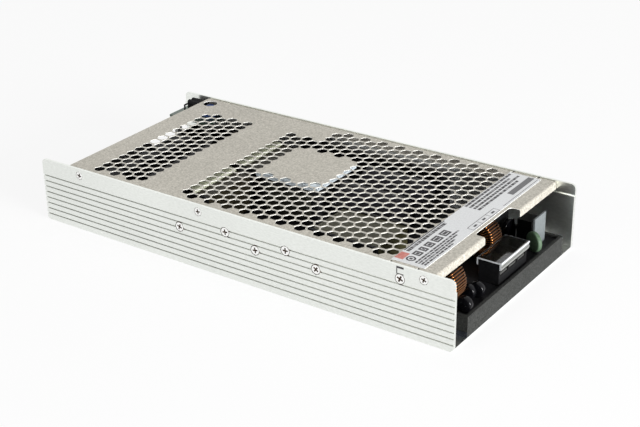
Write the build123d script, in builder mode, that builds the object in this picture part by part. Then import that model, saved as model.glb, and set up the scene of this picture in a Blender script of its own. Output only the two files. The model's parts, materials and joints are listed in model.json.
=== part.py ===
"""Fanless enclosed switching power supply, 290 x 140 x 41 mm.

Millimetres. X runs from the output (rear) end to the input (front) end, Y from the
near side to the far side, Z up. The origin is the centre of the footprint.
"""
import math
import os

from build123d import *

os.makedirs("parts", exist_ok=True)

# Overall size
length = 290.0
width = 140.0
height = 41.0

# Clearances shared by all pieces
seat_gap = 0.1
lay_gap = 0.3
running_gap = 0.05

# Extruded chassis
wall_thickness = 2.4
band_thickness = 1.5
band_height = 7.0
base_thickness = 1.6
groove_count = 8
groove_pitch = 3.73
groove_drop = 10.8
groove_width = 0.8
groove_depth = 1.1
end_corner_radius = 3.0
end_toe = 1.5

# Press-in nuts that fix the supply to its mounting surface
mount_inset_x = 20.0
mount_inset_y = 8.5
mount_hole_radius = 2.0
insert_side = 6.4
insert_height = 4.0

# Top cover, a folded and punched sheet
sheet = 1.0
output_bay = 21.5
input_bay = 11.5
cover_sink = 0.5
front_lip = 4.5
fold_radius = 0.8
slot_width = 40.5
slot_depth = 6.5
slot_offset = 2.75
slot_radius = 2.5
adjust_hole_radius = 4.7
notch_length = 1.6
notch_spacing = 16.1
notch_from_front = 31.9

# Hexagonal perforation of the cover
hole_pitch = 9.8
hole_flats = 8.1
field_margin = 5.3
rear_field_start = 15.0
rear_field_length = 38.0
front_field_start = 81.0
front_field_end_gap = 29.0
step_length = 24.0
step_depth = 24.0
blank_start = 102.0
blank_length = 47.0
blank_near = 60.0
blank_far = 38.5

# Rating label on the cover
label_length = 20.0
label_thickness = 0.2
label_gap = 8.5
label_margin = 4.5

# Potted tray
tray_margin = 14.6
tray_rear_gap = 1.5
tray_height = 12.1
tray_wall = 1.8
tray_floor = 1.5
liner_thickness = 0.2
liner_upturn = 3.0
board_thickness = 1.6
fill_depth = 1.5

# Input terminal block and its clear cover
way_count = 3
way_pitch = 10.2
barrier = 1.5
block_depth = 12.2
block_height = 13.0
block_from_front = 3.8
block_offset = 1.0
bay_floor = 5.6
bay_back = 2.2
clamp_thickness = 1.2
clamp_margin = 0.4
clamp_screw_radius = 3.0
clamp_screw_height = 1.6
shield_sheet = 0.9
shield_leg = 4.4
shield_overhang = 0.2

# Wound rings of the input filter
ring_thickness = 13.0
ring_hole_radius = 4.6
ring_winding = 2.2
ring_split = 5.0
rear_ring_gap = 0.25
rear_ring_near = 73.0
near_ring_from_front = 8.35
ring_wall_gap = 0.5

# Input surge parts
limiter_radius = 4.5
limiter_thickness = 4.0
limiter_places = ((5.6, 19.2), (10.7, 31.7), (8.0, 36.7))  # from the front end, from the near side
varistor_radius = 6.0
varistor_thickness = 2.4
varistor_places = ((6.6, 37.9, 27.0), (26.5, 31.0, 90.0))  # from the front end, far side, turn
barrier_plate_from_front = 9.0
barrier_plate_from_far = 21.5
barrier_plate_width = 13.5
barrier_plate_height = 18.1
barrier_plate_thickness = 1.0
fuse_length = 9.0
fuse_width = 10.0
fuse_height = 11.5
fuse_from_front = 14.0

# Input film capacitor, behind the rear wound ring
film_length = 13.0
film_width = 26.0
film_height = 18.0
film_from_front = 31.0
film_gap = 6.0
film_edge = 0.8

# Bulk capacitors, lying in a row
bulk_count = 2
bulk_pitch = 26.5
bulk_length = 40.0
bulk_start = 172.0
bulk_headroom = 2.2
bulk_centre = 20.0

# Main transformer under the blank patch of the cover
pad_thickness = 3.0
pad_overhang_length = 2.0
pad_overhang_width = 4.0
core_length = 40.0
core_width = 34.0
core_start = 124.0
core_leg = 9.0
core_centre = 9.0
coil_margin = 0.5
coil_overhang = 5.0

# Resonant chokes and the boost choke, wrapped in tape
choke_flange = 2.0
choke_inset = 0.8
choke_count = 2
choke_length = 19.0
choke_width = 44.0
choke_height = 24.0
choke_pitch = 47.0
choke_start = 97.5
choke_wall_gap = 1.1
boost_gap = 22.55
boost_length = 44.0
boost_width = 35.0
boost_height = 24.0
boost_wall_gap = 0.6

# Heat spreader bars and the transistors on them
bar_start = 102.0
bar_length = 111.0
bar_thickness = 6.0
bar_height = 31.0
transistor_count = 5
transistor_width = 15.5
transistor_height = 18.0
transistor_thickness = 4.6
transistor_pitch = 21.0
transistor_start = 5.0

# Output side
output_block_start = 4.0
output_block_depth = 15.0
output_block_width = 56.0
output_block_height = 6.0
output_block_near = 24.0
output_barrier = 2.0
output_rib_height = 9.0
stud_way_count = 4
bus_thickness = 1.5
bus_margin = 1.0
output_screw_radius = 3.6
output_screw_height = 2.4
output_can_radius = 6.5
output_can_height = 18.0
output_can_pitch = 16.0
output_can_start = 36.0
output_can_near = 26.0
output_can_count = 5
output_choke_start = 60.0
output_choke_length = 18.0
output_choke_width = 60.0
output_choke_height = 20.0
output_choke_near = -40.0
output_choke_wall = 6.0
strap_rise = 10.0
strap_reach = 4.0

# Control board with the signal connector and the output trimmer
control_start = 4.0
control_length = 34.0
control_width = 20.0
control_far_gap = 1.6
control_height = 18.4
control_post_radius = 2.6
control_post_inset = 1.2
connector_length = 11.0
connector_width = 7.8
connector_inset = 6.0
connector_sink = 0.6
connector_ways = 2
latch_thickness = 0.8
trimmer_size = 8.6
trimmer_height = 5.6
trimmer_from_rear = 28.6
trimmer_from_far = 9.8
rotor_radius = 2.6
rotor_sink = 1.2
rotor_slot_width = 0.8
rotor_slot_depth = 0.6

# Facets of round pieces that repeat
head_facets = 8
shank_facets = 6
disc_facets = 16
can_facets = 16
ring_facets = 24

# Screws in the side walls, by distance from the rear end unless named otherwise
side_screw_low = 23.3
side_screw_high = 28.9
side_screw_low_places = (109.7, 164.4, 205.4)
side_screw_high_places = (143.4, 185.2)
side_screw_radius = 2.9
side_screw_head = 1.3
side_screw_shank = 1.5
side_screw_length = 7.0
cover_screw_rear_places = (31.3, 124.2)
cover_screw_from_front = 18.0
cover_screw_drop = 4.4
cover_screw_radius = 2.6
cover_screw_shank = 1.3
cover_screw_length = 3.6
earth_screw_from_front = 32.0
earth_screw_drop = 7.8

# Hooked groove pressed into the near wall above the earth screw
hook_length = 4.4
hook_drop = 4.6
hook_stroke = 0.6
hook_below_top = 0.6
hook_depth = 0.7

# Places worked out from the sizes above
rear = -length / 2
front = length / 2
near = -width / 2
far = width / 2
cover_rear = rear + output_bay
cover_front = front - input_bay
cover_top = height - cover_sink
cover_under = cover_top - sheet
ledge = height - band_height
tray_near = near + tray_margin
tray_far = far - tray_margin
tray_bottom = base_thickness + liner_thickness
tray_top = tray_bottom + tray_height
board_bottom = tray_bottom + tray_floor
deck = tray_top - fill_depth


def block(x_from, x_to, y_from, y_to, z_from, z_to, mode=Mode.ADD):
    """Add or cut a box between two corners."""
    with BuildSketch(Plane.XY.offset(z_from)) as outline:
        with Locations(((x_from + x_to) / 2, (y_from + y_to) / 2)):
            Rectangle(x_to - x_from, y_to - y_from)
    extrude(outline.sketch, amount=z_to - z_from, mode=mode)


def post(x, y, radius, z_from, z_to, mode=Mode.ADD, facets=0):
    """Add or cut an upright post, round unless it has facets."""
    with BuildSketch(Plane.XY.offset(z_from)) as outline:
        with Locations((x, y)):
            if facets:
                RegularPolygon(radius, facets)
            else:
                Circle(radius)
    extrude(outline.sketch, amount=z_to - z_from, mode=mode)


def cross_post(x, z, radius, y_from, y_to, mode=Mode.ADD):
    """Add or cut a round post that runs along Y."""
    with BuildSketch(Plane.XZ.offset(-y_to)) as outline:
        with Locations((x, z)):
            Circle(radius)
    extrude(outline.sketch, amount=y_to - y_from, mode=mode)


def disc(x, y, radius, thickness, turned):
    """Add a disc that stands on the potting, its axis turned from Y towards X, in degrees."""
    axis = (math.sin(math.radians(turned)), math.cos(math.radians(turned)), 0)
    with BuildSketch(Plane((x, y, deck + radius), z_dir=axis)) as outline:
        RegularPolygon(radius, disc_facets)
    extrude(outline.sketch, amount=thickness / 2, both=True)


def both_sides(place, z, radius, facets, start, depth, mode=Mode.ADD):
    """Add or cut a faceted post in each side wall, from a depth inside its outer face."""
    for y in (near + start + depth, far - start):
        with BuildSketch(Plane.XZ.offset(-y)) as outline:
            with Locations((rear + place, z)):
                RegularPolygon(radius, facets)
        extrude(outline.sketch, amount=depth, mode=mode)


def save(builder, name):
    """Label a finished piece and write its file."""
    builder.part.label = name
    export_step(builder.part, f"parts/{name}.step")


# Chassis: one extrusion, two ribbed walls on a thin base
groove_heights = [height - groove_drop - k * groove_pitch for k in range(groove_count)]
cover_screw_places = (*cover_screw_rear_places, length - cover_screw_from_front)
earth_screw_x = front - earth_screw_from_front
side_screws = [(place, side_screw_low) for place in side_screw_low_places]
side_screws += [(place, side_screw_high) for place in side_screw_high_places]
cover_screw_z = height - cover_screw_drop
earth_screw_z = height - earth_screw_drop
mount_places = [
    (sx * (front - mount_inset_x), sy * (far - mount_inset_y)) for sx in (-1, 1) for sy in (-1, 1)
]
with BuildPart() as chassis:
    with BuildSketch(Plane.YZ.offset(rear)):
        with Locations((0, height / 2)):
            Rectangle(width, height)
        with Locations((0, (base_thickness + height) / 2)):
            Rectangle(width - 2 * wall_thickness, height - base_thickness, mode=Mode.SUBTRACT)
        with Locations((0, (ledge + height) / 2)):
            Rectangle(width - 2 * band_thickness, band_height, mode=Mode.SUBTRACT)
        with Locations([(y, z) for y in (near, far) for z in groove_heights]):
            Rectangle(2 * groove_depth, groove_width, mode=Mode.SUBTRACT)
    extrude(amount=length)
    cross_edges = chassis.edges().filter_by(Axis.Y)
    fillet(cross_edges.group_by(Axis.Z)[-1], radius=end_corner_radius)
    chamfer(chassis.edges().filter_by(Axis.Y).group_by(Axis.Z)[0], length=end_toe)
    for place, z in side_screws:
        both_sides(place, z, side_screw_radius + lay_gap, head_facets, 0, side_screw_head,
                   mode=Mode.SUBTRACT)
        both_sides(place, z, side_screw_shank + seat_gap, shank_facets, side_screw_head,
                   wall_thickness - side_screw_head, mode=Mode.SUBTRACT)
    for place in cover_screw_places:
        both_sides(place, cover_screw_z, cover_screw_radius + seat_gap, head_facets, 0,
                   band_thickness, mode=Mode.SUBTRACT)
    cross_post(earth_screw_x, earth_screw_z, side_screw_radius + seat_gap, near,
               near + side_screw_head, mode=Mode.SUBTRACT)
    hook_top = height - hook_below_top
    with BuildSketch(Plane.XZ.offset(-near - hook_depth)) as hook:
        with Locations((earth_screw_x, hook_top - hook_drop / 2)):
            Rectangle(hook_length, hook_drop)
        with Locations((earth_screw_x + hook_stroke, hook_top - (hook_drop + hook_stroke) / 2)):
            Rectangle(hook_length, hook_drop - 3 * hook_stroke, mode=Mode.SUBTRACT)
    extrude(hook.sketch, amount=hook_depth, mode=Mode.SUBTRACT)
    for x, y in mount_places:
        block(x - insert_side / 2, x + insert_side / 2, y - insert_side / 2, y + insert_side / 2,
              0, base_thickness, mode=Mode.SUBTRACT)
save(chassis, "chassis")

# Press-in nuts in the base
with BuildPart() as mounting_nuts:
    for x, y in mount_places:
        block(x - insert_side / 2, x + insert_side / 2, y - insert_side / 2, y + insert_side / 2,
              0, insert_height)
        post(x, y, mount_hole_radius, 0, insert_height, mode=Mode.SUBTRACT)
save(mounting_nuts, "mounting_nuts")

# Top cover: folded sheet, punched with hexagons
cover_edge = far - band_thickness - seat_gap
cover_skirt = ledge + seat_gap
slot_back = cover_front - slot_depth
column_pitch = hole_pitch * math.sqrt(3) / 2
first_row = near + band_thickness + field_margin + hole_flats / 2 - hole_pitch / 4
row_count = int((width - 2 * (band_thickness + field_margin)) / hole_pitch)


def field_holes(start, extent, wanted):
    """List the hole centres of one field, in staggered columns, where they are wanted."""
    centres = []
    for column in range(int(extent / column_pitch) + 1):
        x = cover_rear + start + column * column_pitch
        for row in range(row_count):
            y = first_row + (row + column % 2 / 2) * hole_pitch
            if wanted(x, y):
                centres.append((x, y))
    return centres


def below_step(x, y):
    """Keep clear of the plain strip along the far side."""
    return y < far - step_depth


def around_blank(x, y):
    """Keep clear of the blank patch, and of the plain strip next to it."""
    beside = x > cover_rear + front_field_start + step_length or below_step(x, y)
    in_length = cover_rear + blank_start < x < cover_rear + blank_start + blank_length
    in_width = near + blank_near < y < far - blank_far
    return beside and not (in_length and in_width)


front_field_length = cover_front - cover_rear - front_field_start - front_field_end_gap
holes = field_holes(rear_field_start, rear_field_length, below_step)
holes += field_holes(front_field_start, front_field_length, around_blank)
with BuildPart() as top_cover:
    with BuildSketch(Plane.YZ.offset(cover_rear)):
        with Locations((0, (cover_skirt + cover_top) / 2)):
            Rectangle(2 * cover_edge, cover_top - cover_skirt)
        with Locations((0, (cover_skirt + cover_under) / 2)):
            Rectangle(2 * (cover_edge - sheet), cover_under - cover_skirt, mode=Mode.SUBTRACT)
    extrude(amount=cover_front - cover_rear)
    fillet(top_cover.edges().filter_by(Axis.X).group_by(Axis.Z)[-1], radius=fold_radius)
    block(cover_front - sheet, cover_front, sheet - cover_edge, cover_edge - sheet,
          cover_top - front_lip, cover_under)
    with BuildSketch(Plane.XY.offset(cover_top - front_lip)):
        with Locations(((slot_back + cover_front + slot_radius) / 2, slot_offset)):
            RectangleRounded(slot_depth + slot_radius, slot_width, slot_radius)
        with Locations((cover_front, slot_offset)):
            Rectangle(2 * slot_radius, slot_width)
    extrude(amount=front_lip, mode=Mode.SUBTRACT)
    post(rear + trimmer_from_rear, far - trimmer_from_far, adjust_hole_radius, cover_under, cover_top,
         mode=Mode.SUBTRACT)
    for shift in (0, notch_spacing):
        notch = front - notch_from_front - shift
        for side in (-1, 1):
            block(notch, notch + notch_length, side * cover_edge - sheet, side * cover_edge + sheet,
                  cover_under - sheet, cover_top, mode=Mode.SUBTRACT)
    for place in cover_screw_places:
        both_sides(place, cover_screw_z, cover_screw_shank + seat_gap, shank_facets, band_thickness,
                   2 * sheet, mode=Mode.SUBTRACT)
    with BuildSketch(Plane.XY.offset(cover_under)):
        with Locations(holes):
            RegularPolygon(hole_flats / 2, 6, major_radius=False)
    extrude(amount=sheet, mode=Mode.SUBTRACT)
save(top_cover, "top_cover")

# Rating label
with BuildPart() as rating_label:
    label_front = cover_front - label_gap
    block(label_front - label_length, label_front, near + label_margin, far - label_margin,
          cover_top, cover_top + label_thickness)
save(rating_label, "rating_label")

# Screws of the cover and of the side walls
with BuildPart() as cover_screws:
    for place in cover_screw_places:
        both_sides(place, cover_screw_z, cover_screw_radius, head_facets, 0, band_thickness)
        both_sides(place, cover_screw_z, cover_screw_shank, shank_facets, band_thickness,
                   cover_screw_length)
save(cover_screws, "cover_screws")

with BuildPart() as side_screw_group:
    for place, z in side_screws:
        both_sides(place, z, side_screw_radius, head_facets, 0, side_screw_head)
        both_sides(place, z, side_screw_shank, shank_facets, side_screw_head, side_screw_length)
save(side_screw_group, "side_screws")

with BuildPart() as earth_screw:
    cross_post(earth_screw_x, earth_screw_z, side_screw_radius, near, near + side_screw_head)
save(earth_screw, "earth_screw")

# Insulating liner and potted tray
tray_rear = rear + tray_rear_gap
with BuildPart() as liner:
    liner_near = tray_near - seat_gap - liner_thickness
    liner_far = tray_far + seat_gap + liner_thickness
    block(tray_rear, front, liner_near, liner_far, base_thickness, base_thickness + liner_upturn)
    block(tray_rear, front, liner_near + liner_thickness, liner_far - liner_thickness,
          tray_bottom, base_thickness + liner_upturn, mode=Mode.SUBTRACT)
save(liner, "insulating_liner")

inner_rear = tray_rear + tray_wall
inner_front = front - tray_wall
inner_near = tray_near + tray_wall
inner_far = tray_far - tray_wall
with BuildPart() as tray:
    block(tray_rear, front, tray_near, tray_far, tray_bottom, tray_top)
    block(inner_rear, inner_front, inner_near, inner_far, board_bottom, tray_top,
          mode=Mode.SUBTRACT)
save(tray, "potting_tray")

board_top = board_bottom + board_thickness
with BuildPart() as main_board:
    block(inner_rear + lay_gap, inner_front - lay_gap, inner_near + lay_gap, inner_far - lay_gap,
          board_bottom, board_top)
save(main_board, "main_board")

with BuildPart() as potting:
    block(inner_rear, inner_front, inner_near, inner_far, board_top, deck)
save(potting, "potting_compound")

# Input terminal block: a barrier strip with one open bay per way
block_width = way_count * way_pitch + barrier
block_middle = block_offset
block_front = front - block_from_front
block_back = block_front - block_depth
block_near = block_middle - block_width / 2
block_top = deck + block_height
bay_length = way_pitch - barrier
bay_starts = [block_near + barrier + k * way_pitch for k in range(way_count)]
with BuildPart() as input_terminal_block:
    block(block_back, block_front, block_near, block_near + block_width, deck, block_top)
    for y in bay_starts:
        block(block_back + bay_back, block_front, y, y + bay_length, deck + bay_floor, block_top,
              mode=Mode.SUBTRACT)
save(input_terminal_block, "input_terminal_block")

clamp_top = deck + bay_floor + clamp_thickness
with BuildPart() as input_clamps:
    for y in bay_starts:
        block(block_back + bay_back + clamp_margin, block_front - clamp_margin, y + clamp_margin,
              y + bay_length - clamp_margin, deck + bay_floor, clamp_top)
save(input_clamps, "input_clamp_plates")

with BuildPart() as input_screws:
    for y in bay_starts:
        post((block_back + bay_back + block_front) / 2, y + bay_length / 2, clamp_screw_radius,
             clamp_top, clamp_top + clamp_screw_height, facets=head_facets)
save(input_screws, "input_terminal_screws")

# Clear cover that snaps over the terminal block: a channel open at both ends
shield_under = block_top + seat_gap
shield_top = shield_under + shield_sheet
back_outer = block_back - lay_gap - shield_sheet
front_outer = block_front + lay_gap + shield_sheet
with BuildPart() as terminal_cover:
    with BuildSketch(Plane.XZ.offset(-(block_near + block_width + shield_overhang))):
        with BuildLine():
            Polyline(
                (back_outer, shield_top - shield_leg),
                (back_outer, shield_top),
                (front_outer, shield_top),
                (front_outer, shield_top - shield_leg),
                (front_outer - shield_sheet, shield_top - shield_leg),
                (front_outer - shield_sheet, shield_under),
                (back_outer + shield_sheet, shield_under),
                (back_outer + shield_sheet, shield_top - shield_leg),
                close=True,
            )
        make_face()
    extrude(amount=block_width + 2 * shield_overhang)
    fillet(terminal_cover.edges().filter_by(Axis.Y).group_by(Axis.Z)[-1], radius=shield_sheet / 2)
save(terminal_cover, "terminal_cover")

# Wound rings of the input filter: a core and two windings round it
headroom = cover_under - deck
ring_radius = (headroom - 2 * ring_wall_gap) / 2
ring_z = deck + ring_radius


def annulus(x, outer, inner, y_from, y_to, mode=Mode.ADD):
    """Add or cut a flat ring whose axis runs along Y."""
    with BuildSketch(Plane.XZ.offset(-y_to)) as outline:
        with Locations((x, ring_z)):
            RegularPolygon(outer, ring_facets)
            RegularPolygon(inner, ring_facets, mode=Mode.SUBTRACT)
    extrude(outline.sketch, amount=y_to - y_from, mode=mode)


rear_ring_x = back_outer - rear_ring_gap - ring_radius
rear_ring_y = near + rear_ring_near
near_ring_x = front - near_ring_from_front - ring_radius
near_ring_y = inner_near + ring_wall_gap
rings = {"rear_choke": (rear_ring_x, rear_ring_y), "near_choke": (near_ring_x, near_ring_y)}
core_outer = ring_radius - ring_winding
core_inner = ring_hole_radius + ring_winding
for name, (ring_x, ring_y) in rings.items():
    core_near = ring_y + ring_winding
    core_far = ring_y + ring_thickness - ring_winding
    with BuildPart() as ring_core:
        annulus(ring_x, core_outer, core_inner, core_near, core_far)
    save(ring_core, f"{name}_core")
    with BuildPart() as ring_winding_pair:
        annulus(ring_x, ring_radius, ring_hole_radius, ring_y, ring_y + ring_thickness)
        annulus(ring_x, core_outer, core_inner, core_near, core_far, mode=Mode.SUBTRACT)
        block(ring_x - ring_split / 2, ring_x + ring_split / 2, ring_y, ring_y + ring_thickness,
              deck, cover_under, mode=Mode.SUBTRACT)
    save(ring_winding_pair, f"{name}_winding")

# Surge limiters: black discs standing across the supply
with BuildPart() as limiters:
    for from_front, from_near in limiter_places:
        disc(front - from_front, near + from_near + limiter_thickness / 2, limiter_radius,
             limiter_thickness, 0)
save(limiters, "surge_limiters")

# Varistors: a green disc in the front bay and another under the cover
with BuildPart() as varistors:
    for from_front, from_far, turned in varistor_places:
        disc(front - from_front, far - from_far, varistor_radius, varistor_thickness, turned)
save(varistors, "varistors")

# Upright plate between the input parts, and the fuse by the far wall
plate_x = front - barrier_plate_from_front
plate_far = far - barrier_plate_from_far
with BuildPart() as barrier_plate:
    block(plate_x, plate_x + barrier_plate_thickness, plate_far - barrier_plate_width, plate_far,
          deck, deck + barrier_plate_height)
save(barrier_plate, "barrier_plate")

fuse_front = front - fuse_from_front
with BuildPart() as fuse:
    block(fuse_front - fuse_length, fuse_front, inner_far - lay_gap - fuse_width,
          inner_far - lay_gap, deck, deck + fuse_height)
save(fuse, "input_fuse")

film_front = front - film_from_front
film_near = rear_ring_y + ring_thickness + film_gap
with BuildPart() as film_capacitor:
    block(film_front - film_length, film_front, film_near, film_near + film_width,
          deck, deck + film_height)
    chamfer(film_capacitor.edges().group_by(Axis.Z)[-1], length=film_edge)
save(film_capacitor, "film_capacitor")

# Bulk capacitors, lying along the supply
bulk_radius = (headroom - bulk_headroom) / 2
with BuildPart() as bulk_capacitors:
    with BuildSketch(Plane.YZ.offset(rear + bulk_start)):
        with Locations([
            (bulk_centre + (k - (bulk_count - 1) / 2) * bulk_pitch, deck + bulk_radius)
            for k in range(bulk_count)
        ]):
            RegularPolygon(bulk_radius, ring_facets)
    extrude(amount=bulk_length)
save(bulk_capacitors, "bulk_capacitors")

# Main transformer: a core with two windows, a coil round its middle leg, a pad up to the cover
core_near_face = core_centre - core_width / 2
core_far_face = core_centre + core_width / 2
core_rear_face = rear + core_start
core_middle = core_rear_face + core_length / 2
core_top = cover_under - pad_thickness
window_low = deck + core_leg / 2
window_high = core_top - core_leg / 2
window_length = core_length / 2 - core_leg
with BuildPart() as transformer_core:
    block(core_rear_face, core_rear_face + core_length, core_near_face, core_far_face,
          deck, core_top)
    for start in (core_rear_face + core_leg / 2, core_middle + core_leg / 2):
        block(start, start + window_length, core_near_face, core_far_face,
              window_low, window_high, mode=Mode.SUBTRACT)
save(transformer_core, "transformer_core")

with BuildPart() as transformer_coil:
    coil_reach = core_length / 2 - core_leg / 2 - coil_margin
    block(core_middle - coil_reach, core_middle + coil_reach, core_near_face - coil_overhang,
          core_far_face + coil_overhang, window_low + coil_margin, window_high - coil_margin)
    block(core_middle - core_leg / 2 - coil_margin, core_middle + core_leg / 2 + coil_margin,
          core_near_face, core_far_face, window_low, window_high, mode=Mode.SUBTRACT)
save(transformer_coil, "transformer_coil")

with BuildPart() as heat_pad:
    block(core_rear_face - pad_overhang_length, core_rear_face + core_length + pad_overhang_length,
          core_near_face - pad_overhang_width, core_far_face + pad_overhang_width,
          core_top, cover_under)
save(heat_pad, "transformer_heat_pad")

# Chokes: tape-wrapped windings between the cheeks of their bobbins


def bobbin_bar(x, y, length, width, height, mode=Mode.ADD):
    """Add or cut the square bar that joins the cheeks of a bobbin."""
    block(x + length / 3, x + 2 * length / 3, y, y + width, deck + height / 3,
          deck + 2 * height / 3, mode=mode)


def bobbin(x, y, length, width, height):
    """Add one bobbin: two cheeks and the bar between them."""
    for cheek in (y, y + width - choke_flange):
        block(x, x + length, cheek, cheek + choke_flange, deck, deck + height)
    bobbin_bar(x, y, length, width, height)


def bobbin_winding(x, y, length, width, height):
    """Add the winding that fills one bobbin."""
    block(x + choke_inset, x + length - choke_inset, y + choke_flange, y + width - choke_flange,
          deck + choke_inset, deck + height - choke_inset)
    bobbin_bar(x, y, length, width, height, mode=Mode.SUBTRACT)


resonant_chokes = [
    (rear + choke_start, inner_near + choke_wall_gap + k * choke_pitch, choke_length, choke_width,
     choke_height)
    for k in range(choke_count)
]
boost_front = near_ring_x - ring_radius - boost_gap
boost_choke = (boost_front - boost_length, inner_near + boost_wall_gap, boost_length, boost_width,
               boost_height)
with BuildPart() as choke_bobbins:
    for choke in resonant_chokes:
        bobbin(*choke)
save(choke_bobbins, "resonant_choke_bobbins")

with BuildPart() as choke_windings:
    for choke in resonant_chokes:
        bobbin_winding(*choke)
save(choke_windings, "resonant_choke_windings")

with BuildPart() as boost_bobbin:
    bobbin(*boost_choke)
save(boost_bobbin, "boost_choke_bobbin")

with BuildPart() as boost_winding:
    bobbin_winding(*boost_choke)
save(boost_winding, "boost_choke_winding")

# Heat spreader bars along both walls, with the power transistors against them
bar_rear = rear + bar_start
bar_top = base_thickness + bar_height
inner_wall = far - wall_thickness
for side_name, side in (("near", -1), ("far", 1)):
    bar_faces = sorted((side * inner_wall, side * (inner_wall - bar_thickness)))
    with BuildPart() as bar:
        block(bar_rear, bar_rear + bar_length, *bar_faces, base_thickness, bar_top)
        for place, z in side_screws:
            both_sides(place, z, side_screw_shank + seat_gap, shank_facets, side_screw_head,
                       side_screw_length, mode=Mode.SUBTRACT)
    save(bar, f"{side_name}_heat_bar")
    with BuildPart() as transistors:
        bar_face = side * (inner_wall - bar_thickness)
        faces = sorted((bar_face, bar_face - side * transistor_thickness))
        for k in range(transistor_count):
            x = bar_rear + transistor_start + k * transistor_pitch
            block(x, x + transistor_width, *faces, bar_top - transistor_height, bar_top)
    save(transistors, f"{side_name}_transistors")

# Output terminals: a barrier base, a bus plate and a screw in each way
output_rear = rear + output_block_start
output_near = near + output_block_near
output_top = deck + output_block_height
output_pitch = (output_block_width - output_barrier) / stud_way_count
output_ways = [output_near + output_barrier + k * output_pitch for k in range(stud_way_count)]
way_width = output_pitch - output_barrier
with BuildPart() as output_block:
    block(output_rear, output_rear + output_block_depth, output_near,
          output_near + output_block_width, deck, output_top + output_rib_height)
    for y in output_ways:
        block(output_rear, output_rear + output_block_depth, y, y + way_width,
              output_top, output_top + output_rib_height, mode=Mode.SUBTRACT)
save(output_block, "output_terminal_block")

with BuildPart() as output_plates:
    for y in output_ways:
        block(output_rear, output_rear + output_block_depth, y + bus_margin,
              y + way_width - bus_margin, output_top, output_top + bus_thickness)
save(output_plates, "output_bus_plates")

with BuildPart() as output_screws:
    for y in output_ways:
        post(output_rear + output_block_depth / 2, y + way_width / 2, output_screw_radius,
             output_top + bus_thickness, output_top + bus_thickness + output_screw_height,
             facets=shank_facets)
save(output_screws, "output_screws")

# Output capacitors in one row across the supply
with BuildPart() as output_cans:
    for k in range(output_can_count):
        post(rear + output_can_start, near + output_can_near + k * output_can_pitch,
             output_can_radius, deck, deck + output_can_height, facets=can_facets)
save(output_cans, "output_capacitors")

# Output choke: a square core with one window, and the flat strap through it
strap_low = deck + strap_rise
with BuildPart() as output_choke_core:
    core_rear = rear + output_choke_start
    block(core_rear, core_rear + output_choke_length, output_choke_near,
          output_choke_near + output_choke_width, deck, deck + output_choke_height)
    block(core_rear, core_rear + output_choke_length, output_choke_near + output_choke_wall,
          output_choke_near + output_choke_width - output_choke_wall, strap_low - coil_margin,
          strap_low + bus_thickness + coil_margin, mode=Mode.SUBTRACT)
save(output_choke_core, "output_choke_core")

with BuildPart() as output_strap:
    strap_near = output_choke_near + output_choke_wall + coil_margin
    strap_far = output_choke_near + output_choke_width - output_choke_wall - coil_margin
    strap_rear = core_rear - strap_reach
    strap_front = core_rear + output_choke_length + strap_reach
    block(strap_rear, strap_front, strap_near, strap_far, strap_low, strap_low + bus_thickness)
    for start in (strap_rear, strap_front - bus_thickness):
        block(start, start + bus_thickness, strap_near, strap_far, deck, strap_low)
save(output_strap, "output_choke_strap")

# Control board on two posts, with the signal connector and the output trimmer
control_rear = rear + control_start
control_far = inner_wall - control_far_gap
control_near = control_far - control_width
control_bottom = deck + control_height
control_top = control_bottom + board_thickness
post_reach = control_post_radius + control_post_inset
with BuildPart() as control_board:
    block(control_rear, control_rear + control_length, control_near, control_far,
          control_bottom, control_top)
save(control_board, "control_board")

with BuildPart() as control_posts:
    for x in (control_rear + post_reach, control_rear + control_length - post_reach):
        post(x, control_near + post_reach, control_post_radius, deck, control_bottom,
             facets=shank_facets)
save(control_posts, "control_board_posts")

connector_near = control_far - connector_width
connector_rear = control_rear + connector_inset
way = connector_width / connector_ways
connector_top = cover_top - connector_sink
shoulder = connector_top - way / 2
with BuildPart() as signal_connector:
    with BuildSketch(Plane.YZ.offset(connector_rear)):
        with Locations((connector_near + connector_width / 2, (control_top + shoulder) / 2)):
            Rectangle(connector_width, shoulder - control_top)
        with Locations([
            (connector_near + (k + 0.5) * way, shoulder) for k in range(connector_ways)
        ]):
            RegularPolygon(way / 2, head_facets, major_radius=False)
    extrude(amount=connector_length)
    block(connector_rear, connector_rear + latch_thickness, connector_near - way,
          connector_near + way / 2, shoulder - latch_thickness, shoulder)
    block(connector_rear, connector_rear + latch_thickness, connector_near - way,
          connector_near - way + latch_thickness, control_top, shoulder - latch_thickness)
save(signal_connector, "signal_connector")

trimmer_x = rear + trimmer_from_rear
trimmer_y = far - trimmer_from_far
trimmer_top = control_top + trimmer_height
with BuildPart() as trimmer:
    block(trimmer_x - trimmer_size / 2, trimmer_x + trimmer_size / 2, trimmer_y - trimmer_size / 2,
          trimmer_y + trimmer_size / 2, control_top, trimmer_top)
    post(trimmer_x, trimmer_y, rotor_radius + running_gap, trimmer_top - rotor_sink, trimmer_top,
         mode=Mode.SUBTRACT)
save(trimmer, "trimmer_body")

with BuildPart() as rotor:
    post(trimmer_x, trimmer_y, rotor_radius, trimmer_top - rotor_sink, trimmer_top)
    block(trimmer_x - rotor_radius, trimmer_x + rotor_radius, trimmer_y - rotor_slot_width / 2,
          trimmer_y + rotor_slot_width / 2, trimmer_top - rotor_slot_depth, trimmer_top,
          mode=Mode.SUBTRACT)
save(rotor, "trimmer_rotor")
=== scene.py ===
# %% [markdown]
# # A fanless power supply in an aluminium channel
#
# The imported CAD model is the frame: every solid is already in place, in metres. This lesson
# gives it its looks. Some solids only need a good material. Others, such as the punched
# cover and the copper windings, are made again here with the detail that a CAD file
# leaves out, and stand in the same place.

# %% Load the frame
import json
import math
import random

import bmesh
import bpy
from mathutils import Matrix, Vector


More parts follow.
